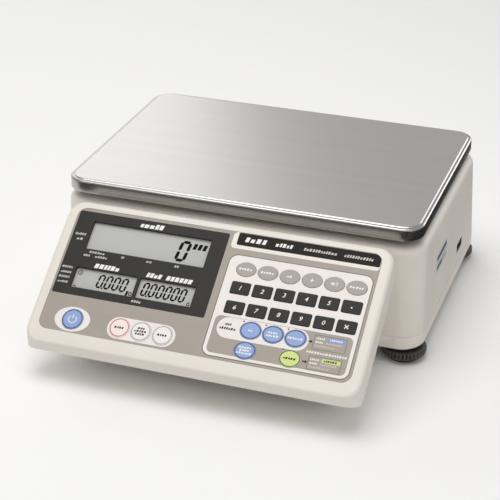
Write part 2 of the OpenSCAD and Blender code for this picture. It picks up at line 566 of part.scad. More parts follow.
key_cap(14);  // key_5
key_cap(15);  // key_point
key_cap(16);  // key_6
key_cap(17);  // key_7
key_cap(18);  // key_8
key_cap(19);  // key_9
key_cap(20);  // key_0
key_cap(21);  // key_clear
key_cap(22);  // key_unit_recall
key_cap(23);  // key_unit_entry
key_cap(24);  // key_unit_sample
key_cap(25);  // key_unit_set
key_cap(26);  // key_enter
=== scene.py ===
import bpy, bmesh, math, random, json
from mathutils import Vector, Matrix, geometry


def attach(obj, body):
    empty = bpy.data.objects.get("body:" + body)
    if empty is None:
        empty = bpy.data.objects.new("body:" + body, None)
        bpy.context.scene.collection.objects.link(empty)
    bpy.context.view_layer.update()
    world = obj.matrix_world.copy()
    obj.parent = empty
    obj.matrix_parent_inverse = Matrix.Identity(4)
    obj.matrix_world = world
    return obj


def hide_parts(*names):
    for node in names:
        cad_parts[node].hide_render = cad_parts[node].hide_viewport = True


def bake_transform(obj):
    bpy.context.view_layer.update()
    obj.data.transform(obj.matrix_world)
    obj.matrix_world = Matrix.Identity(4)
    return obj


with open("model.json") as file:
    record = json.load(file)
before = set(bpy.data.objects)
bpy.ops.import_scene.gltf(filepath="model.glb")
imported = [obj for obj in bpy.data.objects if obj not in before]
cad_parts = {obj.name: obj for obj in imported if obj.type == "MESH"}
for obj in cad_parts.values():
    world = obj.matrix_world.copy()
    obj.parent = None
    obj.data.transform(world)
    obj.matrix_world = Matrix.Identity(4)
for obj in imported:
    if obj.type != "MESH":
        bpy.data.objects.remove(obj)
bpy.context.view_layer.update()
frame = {"nodes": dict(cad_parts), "record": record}
NODES = frame["nodes"]
SLOTS = {s["node"]: s["material_slot"] for s in frame["record"]["subparts"]}
BODY = {n: b for b, ns in frame["record"]["behaviour"]["bodies"].items() for n in ns}
MM = 0.001
SC = bpy.context.scene

# ------------------------------------------------------------------ materials
def lin(h):
    """A display colour given as six hex digits, as linear RGB."""
    out = []
    for i in (0, 2, 4):
        c = int(h[i:i + 2], 16) / 255
        out.append(c / 12.92 if c <= 0.04045 else ((c + 0.055) / 1.055) ** 2.4)
    return out

def mix3(a, b, t):
    return [x * (1 - t) + y * t for x, y in zip(a, b)]

def material(name, col, rough=0.45, metal=0.0, spec=0.5, coat=0.0, var=0.06, grain=2600.0, grain_depth=0.02,
             mottling=45.0, stretch=(1, 1, 1), rough_var=0.08, wear_and_edge_highlight=0.0, sheen=0.0, coat_rough=0.1, detail=4.0):
    m = bpy.data.materials.new(name)
    m.use_nodes = True
    nt = m.node_tree
    nt.nodes.clear()
    out = nt.nodes.new("ShaderNodeOutputMaterial")
    p = nt.nodes.new("ShaderNodeBsdfPrincipled")
    nt.links.new(p.outputs[0], out.inputs[0])
    tc = nt.nodes.new("ShaderNodeTexCoord")
    mp = nt.nodes.new("ShaderNodeMapping")
    mp.inputs["Scale"].default_value = stretch
    nt.links.new(tc.outputs["Object"], mp.inputs["Vector"])
    broad = nt.nodes.new("ShaderNodeTexNoise")
    broad.inputs["Scale"].default_value = mottling
    broad.inputs["Detail"].default_value = detail
    nt.links.new(mp.outputs[0], broad.inputs["Vector"])
    fine = nt.nodes.new("ShaderNodeTexNoise")
    fine.inputs["Scale"].default_value = grain
    fine.inputs["Detail"].default_value = 2.0
    nt.links.new(mp.outputs[0], fine.inputs["Vector"])
    ramp = nt.nodes.new("ShaderNodeValToRGB")
    ramp.color_ramp.elements[0].position = 0.3
    ramp.color_ramp.elements[1].position = 0.7
    ramp.color_ramp.elements[0].color = (*[c * (1 - var) for c in col], 1)
    ramp.color_ramp.elements[1].color = (*[min(1, c * (1 + var)) for c in col], 1)
    nt.links.new(broad.outputs["Fac"], ramp.inputs[0])
    colour = ramp.outputs[0]
    # Convex edges are mixed towards a paler tone: partly wear, partly a painted highlight on edges such as the knurled
    # feet's ribs.
    if wear_and_edge_highlight:
        geo = nt.nodes.new("ShaderNodeNewGeometry")
        wr = nt.nodes.new("ShaderNodeMapRange")
        wr.inputs["From Min"].default_value = 0.52
        wr.inputs["From Max"].default_value = 0.62
        wr.inputs["To Max"].default_value = wear_and_edge_highlight
        nt.links.new(geo.outputs["Pointiness"], wr.inputs["Value"])
        mx = nt.nodes.new("ShaderNodeMix")
        mx.data_type = "RGBA"
        nt.links.new(wr.outputs[0], mx.inputs[0])
        nt.links.new(colour, mx.inputs[6])
        mx.inputs[7].default_value = (*mix3(col, [1, 1, 1], 0.5), 1)
        colour = mx.outputs[2]
    nt.links.new(colour, p.inputs["Base Color"])
    rr = nt.nodes.new("ShaderNodeMapRange")
    rr.inputs["From Min"].default_value = 0.3
    rr.inputs["From Max"].default_value = 0.7
    rr.inputs["To Min"].default_value = max(0.02, rough - rough_var)
    rr.inputs["To Max"].default_value = min(1, rough + rough_var)
    nt.links.new(fine.outputs["Fac"], rr.inputs["Value"])
    nt.links.new(rr.outputs[0], p.inputs["Roughness"])
    bump = nt.nodes.new("ShaderNodeBump")
    bump.inputs["Strength"].default_value = 1.0
    bump.inputs["Distance"].default_value = grain_depth * MM
    nt.links.new(fine.outputs["Fac"], bump.inputs["Height"])
    nt.links.new(bump.outputs[0], p.inputs["Normal"])
    p.inputs["Metallic"].default_value = metal
    p.inputs["Specular IOR Level"].default_value = spec
    p.inputs["Coat Weight"].default_value = coat
    p.inputs["Coat Roughness"].default_value = coat_rough
    p.inputs["Sheen Weight"].default_value = sheen
    return m

M = {}
M["case_cream"] = material("case_cream", lin("E9E3DA"), 0.42, var=0.02, grain=2200, grain_depth=0.012, mottling=30)
M["fascia"] = material("fascia", lin("A89F95"), 0.5, var=0.03, grain=3400, grain_depth=0.006, mottling=60)
M["fascia_light"] = material("fascia_light", lin("F3ECE8"), 0.5, var=0.02, grain=3400, grain_depth=0.006, mottling=60)
M["fascia_cream"] = material("fascia_cream", lin("F1EAE0"), 0.5, var=0.02, grain=3400, grain_depth=0.006, mottling=60)
# Dark taupe for the printed outlines of the label boxes, also used as a painted shadow line round the keypad block.
M["fascia_line_and_painted_shadow"] = material("fascia_line_and_painted_shadow", lin("6E665F"), 0.5, var=0.05, grain=3400, grain_depth=0.004, mottling=60)
M["window_dark"] = material("window_dark", lin("31302D"), 0.3, var=0.06, grain=900, grain_depth=0.002, mottling=25, spec=0.12)
M["lcd"] = material("lcd", lin("BCBCB8"), 0.25, var=0.02, grain=5200, grain_depth=0.001, mottling=20, spec=0.2)
M["lcd_ink"] = material("lcd_ink", lin("0B0B0A"), 0.45, spec=0.06, var=0.08, grain=5200, grain_depth=0.001, mottling=400)
M["print_white"] = material("print_white", lin("F4F2EE"), 0.5, var=0.04, grain=3000, grain_depth=0.003, mottling=300)
M["print_grey"] = material("print_grey", lin("C9C5BE"), 0.5, var=0.06, grain=3000, grain_depth=0.003, mottling=300)
M["print_dark"] = material("print_dark", lin("2C2A28"), 0.5, spec=0.08, var=0.08, grain=3000, grain_depth=0.003, mottling=300)
M["print_red"] = material("print_red", lin("A8474A"), 0.5, var=0.06, grain=3000, grain_depth=0.003, mottling=300)
M["print_pink"] = material("print_pink", lin("FBEAE5"), 0.5, var=0.02, grain=3000, grain_depth=0.003, mottling=60)
M["print_bluegrey"] = material("print_bluegrey", lin("8E93A8"), 0.5, var=0.05, grain=3000, grain_depth=0.003, mottling=200)
M["print_navy"] = material("print_navy", lin("2E3F63"), 0.45, var=0.06, grain=3000, grain_depth=0.003, mottling=200)
M["print_blue"] = material("print_blue", lin("7FA0DC"), 0.5, var=0.04, grain=3000, grain_depth=0.003, mottling=200)
M["print_lime"] = material("print_lime", lin("D3E285"), 0.5, var=0.04, grain=3000, grain_depth=0.003, mottling=200)
M["holder_plastic"] = material("holder_plastic", lin("4A4844"), 0.55, var=0.06, grain_depth=0.02)
M["circuit_board"] = material("circuit_board", lin("2C6B45"), 0.35, var=0.12, mottling=240, grain_depth=0.01, coat=0.2)
M["dome_rubber"] = material("dome_rubber", lin("D6D2CA"), 0.7, var=0.04, grain_depth=0.02)
M["cast_alloy"] = material("cast_alloy", lin("B4B6B8"), 0.55, metal=0.9, var=0.07, grain=900, grain_depth=0.09, mottling=70, rough_var=0.1)
M["cell_alloy"] = material("cell_alloy", lin("C9CCD0"), 0.34, metal=1.0, var=0.04, grain=1800, grain_depth=0.01, mottling=90, stretch=(0.08, 1, 1))
M["zinc_steel"] = material("zinc_steel", lin("A6A9AC"), 0.36, metal=1.0, var=0.08, grain=2400, grain_depth=0.01, mottling=300, wear_and_edge_highlight=0.25)
M["cable_sheath"] = material("cable_sheath", lin("85878C"), 0.5, var=0.05, grain_depth=0.01)
M["cell_wrap"] = material("cell_wrap", lin("35619C"), 0.3, var=0.05, mottling=120, grain_depth=0.004, coat=0.3)
M["contact_metal"] = material("contact_metal", lin("C8B27A"), 0.35, metal=1.0, var=0.06, grain_depth=0.006)
# Its paler convex edges give the knurled feet's ribs a painted highlight as well as wear.
M["black_plastic"] = material("black_plastic", lin("333332"), 0.27, var=0.12, grain=2200, grain_depth=0.02, mottling=120, wear_and_edge_highlight=0.12)
M["level_fluid"] = material("level_fluid", lin("CFE06A"), 0.12, var=0.03, grain_depth=0.001, coat=0.8)
M["foot_rubber"] = material("foot_rubber", lin("1E1E1D"), 0.75, var=0.15, grain=1500, grain_depth=0.03, mottling=160)
M["key_blue"] = material("key_blue", lin("8FAADC"), 0.45, var=0.03, grain=3000, grain_depth=0.006, mottling=90)
M["key_white"] = material("key_white", lin("F4EFEC"), 0.45, var=0.02, grain=3000, grain_depth=0.006, mottling=90)
M["key_grey"] = material("key_grey", lin("A9A29C"), 0.45, var=0.03, grain=3000, grain_depth=0.006, mottling=90)
M["key_black"] = material("key_black", lin("2E2D2A"), 0.45, var=0.08, grain=3000, grain_depth=0.006, mottling=90, spec=0.2)
M["key_green"] = material("key_green", lin("D5E58A"), 0.45, var=0.03, grain=3000, grain_depth=0.006, mottling=90)
M["label_foil"] = material("label_foil", lin("D2D3DA"), 0.35, var=0.04, grain=2400, grain_depth=0.004, mottling=90)
M["label_blue"] = material("label_blue", lin("3A4268"), 0.4, var=0.06, grain=2400, grain_depth=0.004, mottling=90)
M["wrap_gold"] = material("wrap_gold", lin("C9A85A"), 0.3, metal=0.6, var=0.05, grain_depth=0.004)

def brushed_steel(name="pan_steel", rough=(0.29, 0.36), lo=(0.665, 0.652, 0.640, 1), hi=(0.695, 0.682, 0.668, 1), bumps=0.2):
    m = bpy.data.materials.new(name)
    m.use_nodes = True
    nt = m.node_tree
    p = nt.nodes["Principled BSDF"]
    tc = nt.nodes.new("ShaderNodeTexCoord")
    mp = nt.nodes.new("ShaderNodeMapping")
    mp.inputs["Scale"].default_value = (6.0, 2600.0, 2600.0)
    nt.links.new(tc.outputs["Object"], mp.inputs["Vector"])
    fine = nt.nodes.new("ShaderNodeTexNoise")
    fine.inputs["Scale"].default_value = 1.0
    fine.inputs["Detail"].default_value = 3.0
    nt.links.new(mp.outputs[0], fine.inputs["Vector"])
    mp2 = nt.nodes.new("ShaderNodeMapping")
    mp2.inputs["Scale"].default_value = (2.0, 160.0, 160.0)
    nt.links.new(tc.outputs["Object"], mp2.inputs["Vector"])
    band = nt.nodes.new("ShaderNodeTexNoise")
    band.inputs["Scale"].default_value = 1.0
    band.inputs["Detail"].default_value = 5.0
    nt.links.new(mp2.outputs[0], band.inputs["Vector"])
    ramp = nt.nodes.new("ShaderNodeValToRGB")
    ramp.color_ramp.elements[0].position = 0.25
    ramp.color_ramp.elements[1].position = 0.75
    ramp.color_ramp.elements[0].color = lo
    ramp.color_ramp.elements[1].color = hi
    nt.links.new(band.outputs["Fac"], ramp.inputs[0])
    nt.links.new(ramp.outputs[0], p.inputs["Base Color"])
    rr = nt.nodes.new("ShaderNodeMapRange")
    rr.inputs["To Min"].default_value = rough[0]
    rr.inputs["To Max"].default_value = rough[1]
    nt.links.new(fine.outputs["Fac"], rr.inputs["Value"])
    nt.links.new(rr.outputs[0], p.inputs["Roughness"])
    bump = nt.nodes.new("ShaderNodeBump")
    bump.inputs["Strength"].default_value = bumps
    bump.inputs["Distance"].default_value = 0.000004
    nt.links.new(fine.outputs["Fac"], bump.inputs["Height"])
    nt.links.new(bump.outputs[0], p.inputs["Normal"])
    p.inputs["Metallic"].default_value = 1.0
    return m

M["pan_steel"] = brushed_steel()
# The rim is the same steel as the flat, with a lower roughness and a darker colour as painted shade on the rim face.
M["pan_rim"] = brushed_steel("pan_rim", (0.24, 0.31), (0.47, 0.46, 0.45, 1), (0.51, 0.50, 0.49, 1), 0.02)

# ------------------------------------------------------------------ the face's own axes
FACE_Y, FACE_Z, FACE_A = -119.0, 74.25, math.radians(35.5)
CA, SA = math.cos(FACE_A), math.sin(FACE_A)

def on_face(x, v, w):
    return Vector((x, FACE_Y + v * CA - w * SA, FACE_Z + v * SA + w * CA)) * MM

def upright(x, y, z):
    return Vector((x, y, z)) * MM

# ------------------------------------------------------------------ outlines, in millimetres
def rrect(x0, y0, x1, y1, r, n=6):
    r = max(0.01, min(r, (x1 - x0) / 2 - 0.001, (y1 - y0) / 2 - 0.001))
    pts = []
    for cx, cy, a0 in ((x1 - r, y0 + r, -90), (x1 - r, y1 - r, 0), (x0 + r, y1 - r, 90), (x0 + r, y0 + r, 180)):
        for k in range(n + 1):
            a = math.radians(a0 + 90 * k / n)
            pts.append((cx + r * math.cos(a), cy + r * math.sin(a)))
    return pts

def ellipse(cx, cy, a, b, n=48):
    return [(cx + a * math.cos(2 * math.pi * k / n), cy + b * math.sin(2 * math.pi * k / n)) for k in range(n)]

def quad(x0, y0, x1, y1, slant=0.0):
    h = y1 - y0
    return [(x0, y0), (x1, y0), (x1 + slant * h, y1), (x0 + slant * h, y1)]

class Piece:
    """A mesh built up from prisms, lofts and glyphs, each with its own material."""
    def __init__(self, name):
        self.name, self.bm, self.mats = name, bmesh.new(), []

    def mi(self, m):
        if m not in self.mats:
            self.mats.append(m)
        return self.mats.index(m)

    def prism(self, loops, w0, w1, m, place=on_face):
        """A solid between heights w0 and w1. The first loop is its outline, and the others are its holes."""
        i = self.mi(m)
        flat = [p for l in loops for p in l]
        lower = [self.bm.verts.new(place(x, y, w0)) for x, y in flat]
        upper = [self.bm.verts.new(place(x, y, w1)) for x, y in flat]
        if len(loops) == 1:
            for vs in (list(reversed(lower)), upper):
                self.bm.faces.new(vs).material_index = i
        else:
            for t in geometry.tessellate_polygon([[Vector((x, y, 0)) for x, y in l] for l in loops]):
                for vs in ([lower[k] for k in reversed(t)], [upper[k] for k in t]):
                    try:
                        self.bm.faces.new(vs).material_index = i
                    except ValueError:
                        pass
        s = 0
        for l in loops:
            n = len(l)
            for k in range(n):
                a, b = s + k, s + (k + 1) % n
                self.bm.faces.new((lower[a], lower[b], upper[b], upper[a])).material_index = i
            s += n

    def loft(self, rings, m, place=on_face, cap0=True, cap1=True, closed=False):
        i = self.mi(m)
        rows = [[self.bm.verts.new(place(*p)) for p in r] for r in rings]
        n = len(rows[0])
        pairs = list(zip(rows, rows[1:])) + ([(rows[-1], rows[0])] if closed else [])
        for a, b in pairs:
            for k in range(n):
                self.bm.faces.new((a[k], a[(k + 1) % n], b[(k + 1) % n], b[k])).material_index = i
        if cap0 and not closed:
            self.bm.faces.new(list(reversed(rows[0]))).material_index = i
        if cap1 and not closed:
            self.bm.faces.new(rows[-1]).material_index = i

    def glyph(self, text, cx, cy, size, w0, w1, m, place=on_face, shear=0.22, bold=0.012, squeeze=1.0):
        """A numeral from the plain built-in font, as a solid."""
        cu = bpy.data.curves.new("glyph", "FONT")
        cu.body, cu.size, cu.shear, cu.offset = text, 1.0, shear, bold
        cu.align_x, cu.resolution_u, cu.extrude = "CENTER", 4, 0.5
        ob = bpy.data.objects.new("glyph", cu)
        SC.collection.objects.link(ob)
        dg = bpy.context.evaluated_depsgraph_get()
        me = bpy.data.meshes.new_from_object(ob.evaluated_get(dg))
        bpy.data.objects.remove(ob)
        xs = [v.co.x for v in me.vertices]
        ys = [v.co.y for v in me.vertices]
        mx, my, h = (min(xs) + max(xs)) / 2, (min(ys) + max(ys)) / 2, max(ys) - min(ys)
        k = size / h
        i = self.mi(m)
        vs = [self.bm.verts.new(place(cx + (v.co.x - mx) * k * squeeze, cy + (v.co.y - my) * k, w0 if v.co.z < 0 else w1)) for v in me.vertices]
        for f in me.polygons:
            try:
                self.bm.faces.new([vs[q] for q in f.vertices]).material_index = i
            except ValueError:
                pass
        bpy.data.meshes.remove(me)

    def done(self, body, replaces=(), angle=35, weld=True):
        if weld:
            bmesh.ops.remove_doubles(self.bm, verts=self.bm.verts, dist=1e-7)
        bmesh.ops.recalc_face_normals(self.bm, faces=self.bm.faces)
        me = bpy.data.meshes.new(self.name)
        self.bm.to_mesh(me)
        self.bm.free()
        for m in self.mats:
            me.materials.append(M[m])
        me.shade_smooth()
        me.set_sharp_from_angle(angle=math.radians(angle))
        ob = bpy.data.objects.new(self.name, me)
        SC.collection.objects.link(ob)
        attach(ob, body)
        if replaces:
            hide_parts(*replaces)
        return ob

def refined(node, bevel=0.35, angle=32, segs=2, name=None, mat=None, bend=None):
    """A finished version of a CAD solid: the same shape, with its flat faces cleaned up and its sharp edges broken."""
    src = NODES[node]
    bm = bmesh.new()
    bm.from_mesh(src.data)
    bmesh.ops.remove_doubles(bm, verts=bm.verts, dist=2e-6)
    bmesh.ops.dissolve_degenerate(bm, edges=bm.edges, dist=1e-6)
    if bevel:
        bmesh.ops.dissolve_limit(bm, angle_limit=math.radians(0.6), verts=bm.verts, edges=bm.edges, delimit={"SHARP"})
        edges = [e for e in bm.edges if len(e.link_faces) == 2 and e.calc_face_angle(0) > math.radians(angle)]
        bmesh.ops.bevel(bm, geom=edges, offset=bevel * MM, offset_type="OFFSET", segments=segs, profile=0.5,
                        affect="EDGES", clamp_overlap=True, miter_outer="ARC", harden_normals=False)
    bmesh.ops.triangulate(bm, faces=[f for f in bm.faces if len(f.verts) > 4])
    me = bpy.data.meshes.new(name or node + "_body")
    bm.to_mesh(me)
    bm.free()
    me.materials.append(M[mat or SLOTS[node]])
    me.shade_smooth()
    me.set_sharp_from_angle(angle=math.radians(angle))
    ob = bpy.data.objects.new(name or node + "_body", me)
    SC.collection.objects.link(ob)
    wn = ob.modifiers.new("wn", "WEIGHTED_NORMAL")
    wn.keep_sharp = True
    wn.weight = 50
    if bend:
        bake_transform(ob)
    else:
        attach(ob, BODY[node])
    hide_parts(node)
    return ob

# ------------------------------------------------------------------ case, hidden works
for n, ob in NODES.items():
    ob.data.materials.clear()
    ob.data.materials.append(M[SLOTS[n]])

refined("upper_case", bevel=0.45, angle=34)
refined("lower_case", bevel=0, angle=34)
refined("keypad_overlay", bevel=0.12, angle=40, segs=1)
refined("base_frame", bevel=0)
refined("pan_support", bevel=0.6)
refined("battery_door", bevel=0)
refined("load_cell", bevel=0.3, bend=("case", "pan_support", (-0.030, 0.050, 0.051), (0.030, 0.050, 0.051)))   # the beam is baked where it is built, with no body
for n in ("main_board", "panel_board", "dc_jack", "lcd_holder", "case_screws", "cell_screws", "overload_stops", "pan_pads"):
    refined(n, bevel=0.15)

# ------------------------------------------------------------------ pan
def pan_rings(profile):
    rings = []
    for d, z in profile:
        rings.append([(x, y + 50, z) for x, y in rrect(-150 + d, -105 + d, 150 - d, 105 - d, max(17 - d, 6), 14)])
    return rings

def arc(cx, cz, r, a0, a1, n):
    return [(cx + r * math.cos(math.radians(a0 + (a1 - a0) * k / n)), cz + r * math.sin(math.radians(a0 + (a1 - a0) * k / n))) for k in range(n + 1)]

top = [(0.9, 110.0), (0.35, 110.02), (0.08, 110.18), (0.0, 110.5), (0.0, 114.0), (0.0, 118.0)]
top += [(1.9 - 1.9 * math.cos(math.radians(a)), 118.3 + 1.9 * math.sin(math.radians(a))) for a in (8, 20, 32, 44, 56, 68, 80)]
top += [(1.9, 120.2), (2.5, 120.15), (2.9, 120.2), (3.2, 120.4), (3.5, 120.7), (3.9, 120.9), (4.5, 121.0), (5.6, 121.0), (14, 121.0), (40, 121.0)]
under = [(40, 119.8), (8.8, 119.8), (4.8, 119.8), (3.9, 119.5), (3.2, 119.05), (2.4, 118.9), (1.7, 118.6), (1.25, 118.0), (1.2, 116.0), (1.2, 110.5), (1.1, 110.15)]
p = Piece("pan_plate")
cut = len(top) - 5                                    # the rim and its bend are smoother than the brushed flat, and their steel is darkened as painted shade
p.loft(pan_rings(top[:cut + 1]), "pan_rim", upright, cap0=False, cap1=False)
p.loft(pan_rings(top[cut:]), "pan_steel", upright, cap0=False, cap1=True)
p.loft(pan_rings(under), "pan_steel", upright, cap0=True, cap1=False)
last = [[(x, y + 50, z) for x, y in rrect(-150 + d, -105 + d, 150 - d, 105 - d, max(17 - d, 6), 14)] for d, z in (under[-1], top[0])]
p.loft(last, "pan_steel", upright, cap0=False, cap1=False)
p.done("pan", ["pan"], angle=50)

# ------------------------------------------------------------------ display window and LCDs
def letters(p, x0, v0, x1, v1, count, w, m, seed, slant=0.25, gap=0.32):
    """A caption's place taken by a row of plain slanted blocks, which spell nothing."""
    rnd = random.Random(seed)
    widths = [rnd.uniform(0.75, 1.15) for _ in range(count)]
    pitch = (x1 - x0 - slant * (v1 - v0)) / sum(widths)
    x = x0
    for k in widths:
        a, b = x, x + k * pitch * (1 - gap)
        h = v1 - v0
        p.prism([quad(a, v0, b, v0 + h * rnd.choice((1, 1, 1, 0.72)), slant)], w, w + 0.03, m)
        x += k * pitch

p = Piece("display_window_mask")
cells = [(-111, 19.6, -10, 44.7), (-112, -15.2, -59.5, 2.8), (-57.2, -15.2, -10.5, 2.4)]
win = (-125.3, -22.0, 3.0, 52.5)
holes = [list(reversed(rrect(*c, 0.8, 3))) for c in cells]
p.prism([rrect(*win, 1.5, 4)] + holes, -1.5, -0.25, "window_dark")
p.prism([rrect(-122, -18.7, -0.3, 49.2, 1.7, 4)] + [list(reversed(rrect(c[0] + 0.05, c[1] + 0.05, c[2] - 0.05, c[3] - 0.05, 0.8, 3))) for c in cells], -2.6, -1.5, "window_dark")
W = -0.25
letters(p, -71.8, 45.9, -50.6, 50.2, 5, W, "print_white", 1, gap=0.22)
letters(p, -97.8, 3.9, -75.2, 7.9, 6, W, "print_white", 2, gap=0.22)
letters(p, -53.2, 3.7, -39.2, 7.6, 4, W, "print_white", 3, gap=0.22)
letters(p, -36.6, 3.7, -13.6, 7.6, 6, W, "print_white", 4, gap=0.22)
letters(p, -123.2, 30.6, -113.2, 32.6, 5, W, "print_grey", 5)
letters(p, -120.6, 26.2, -114.4, 28.2, 2, W, "print_grey", 6)
letters(p, -106, 16.2, -92, 18.0, 6, W, "print_grey", 7)
letters(p, -110, 12.8, -104, 14.6, 3, W, "print_grey", 8)
letters(p, -100, 12.8, -89, 14.6, 5, W, "print_grey", 9)
letters(p, -78.5, 15.9, -75.4, 17.7, 2, W, "print_grey", 10)
letters(p, -57, 15.9, -51.4, 17.9, 2, W, "print_grey", 11)
letters(p, -33.2, 15.9, -28.6, 17.7, 2, W, "print_grey", 12)
for k, v in enumerate((1.2, -3.4, -7.6, -12.0)):
    letters(p, -124.2 + 0.3 * (k % 2), v - 0.9, -114.3, v + 0.9, 5, W, "print_grey", 20 + k)
letters(p, -58.4, -19.6, -49.4, -17.6, 4, W, "print_grey", 30)
p.done("case", ["display_window"])

SEG = {"a": (0, 1), "b": (1, 1), "c": (1, 0), "d": (0, 0), "e": (0, 0), "f": (0, 1)}
def seven(p, x, v, wd, ht, t, w, m, slant, segs="abcdef"):
    """One seven-segment numeral with pointed segment ends."""
    g = t * 0.06
    def place(pts):
        return [(px + slant * (py - v), py) for px, py in pts]
    def horiz(y, x0, x1):
        return [(x0 + t / 2, y), (x0 + t, y - t / 2), (x1 - t, y - t / 2), (x1 - t / 2, y), (x1 - t, y + t / 2), (x0 + t, y + t / 2)]
    def vert(xc, y0, y1):
        return [(xc, y0 + t / 2), (xc + t / 2, y0 + t), (xc + t / 2, y1 - t), (xc, y1 - t / 2), (xc - t / 2, y1 - t), (xc - t / 2, y0 + t)]
    xa, xb, ya, yb, ym = x + t / 2, x + wd - t / 2, v + t / 2, v + ht - t / 2, v + ht / 2
    shapes = {"a": horiz(yb, xa - t / 2 + g, xb + t / 2 - g), "d": horiz(ya, xa - t / 2 + g, xb + t / 2 - g), "g": horiz(ym, xa - t / 2 + g, xb + t / 2 - g),
              "b": vert(xb, ym - t / 2 + g, yb + t / 2 - g), "c": vert(xb, ya - t / 2 + g, ym + t / 2 - g),
              "f": vert(xa, ym - t / 2 + g, yb + t / 2 - g), "e": vert(xa, ya - t / 2 + g, ym + t / 2 - g)}
    for s in segs:
        p.prism([place(shapes[s])], w, w + 0.02, m)

def lcd(name, node, c, draw):
    p = Piece(name)
    p.prism([rrect(c[0] - 1.2, c[1] - 1.3, c[2] + 1.2, c[3] + 1.3, 0.4, 2)], -4.0, -2.9, "lcd")
    p.prism([rrect(c[0] - 0.2, c[1] + 0.2, c[2] + 0.2, c[3] - 0.2, 0.4, 2)], -5.2, -4.0, "lcd")
    draw(p)
    p.done("case", [node])

L = -2.9
def count_marks(p):
    seven(p, -37.0, 22.6, 9.4, 19.0, 2.7, L, "lcd_ink", 0.13)
    for x in (-24.4, -20.3, -16.2):                   # the unit's mark, as plain blocks
        p.prism([quad(x, 35.0, x + 2.9, 40.2, 0.2)], L, L + 0.02, "lcd_ink")
def weight_marks(p):
    for k in range(4):
        seven(p, -92.8 + 6.6 * k, -11.7, 5.5, 12.2, 1.6, L, "lcd_ink", 0.14)
    p.prism([ellipse(-86.7, -11.3, 0.75, 0.75, 12)], L, L + 0.02, "lcd_ink")
    p.prism([ellipse(-108.3, -0.9, 2.1, 2.1, 32), list(reversed(ellipse(-108.3, -0.9, 1.5, 1.5, 32)))], L, L + 0.02, "lcd_ink")
    p.prism([ellipse(-108.3, -0.9, 0.6, 0.6, 12)], L, L + 0.02, "lcd_ink")
    p.prism([quad(-111, -13.4, -108.4, -12.6)], L, L + 0.02, "lcd_ink")
    p.prism([quad(-66.4, -14.0, -64.6, -9.8, 0.15)], L, L + 0.02, "lcd_ink")
    p.prism([ellipse(-62.4, -12.0, 1.5, 1.7, 20), list(reversed(ellipse(-62.4, -12.0, 0.8, 1.0, 20)))], L, L + 0.02, "lcd_ink")
def unit_marks(p):
    for k in range(6):
        seven(p, -54.8 + 6.3 * k, -11.9, 5.3, 12.2, 1.6, L, "lcd_ink", 0.14)
    p.prism([ellipse(-49.0, -11.5, 0.75, 0.75, 12)], L, L + 0.02, "lcd_ink")
    p.prism([ellipse(-13.6, -12.2, 1.3, 1.6, 20), list(reversed(ellipse(-13.6, -12.2, 0.7, 0.9, 20)))], L, L + 0.02, "lcd_ink")
lcd("lcd_count_glass", "lcd_count", (-111, 19.6, -10, 44.7), count_marks)
lcd("lcd_weight_glass", "lcd_weight", (-112, -15.2, -59.5, 2.8), weight_marks)
lcd("lcd_unit_glass", "lcd_unit_weight", (-57.2, -15.2, -10.5, 2.4), unit_marks)

# ------------------------------------------------------------------ keys
PITCH, GX = 17.8, 24.4
R0, R1, R2, RB, RL = 24.0, 7.5, -9.3, -25.7, -42.5
KEYS = {"key_on_off": ("round", -100, RL), "key_zero": ("white", -60.2, RL), "key_preset_tare": ("white", -42.4, RL), "key_tare": ("white", -24.6, RL)}
for k, n in enumerate(("print", "total", "memory", "plus", "beep", "reset")):
    KEYS["key_" + n] = ("oval", GX + PITCH * k, R0)
for k, n in enumerate(("1", "2", "3", "4", "5", "point")):
    KEYS["key_" + n] = ("num", GX + PITCH * k, R1)
for k, n in enumerate(("6", "7", "8", "9", "0", "clear")):
    KEYS["key_" + n] = ("num", GX + PITCH * k, R2)
for k, n in ((1, "unit_recall"), (2, "unit_entry"), (3, "unit_sample")):
    KEYS["key_" + n] = ("blue", GX + PITCH * k, RB)
KEYS["key_unit_set"] = ("blue", GX + PITCH, RL)
KEYS["key_enter"] = ("blue", GX + PITCH * 3, RL)

def key_loop(kind, x, v, d=0.0):
    """A key's outline, d millimetres larger all round."""
    if kind == "round":
        return ellipse(x, v, 8.7 + d, 8.7 + d, 64)
    if kind == "white":
        return ellipse(x, v, 8.1 + d, 8.1 + d, 64)
    if kind == "blue":
        return ellipse(x, v, 8.5 + d, 7.3 + d, 64)
    if kind == "oval":
        return ellipse(x, v, 8.1 + d, 6.1 + d, 64)
    return rrect(x - 7.7 - d, v - 5.3 - d, x + 7.7 + d, v + 5.3 + d, 1.4 + d, 8)

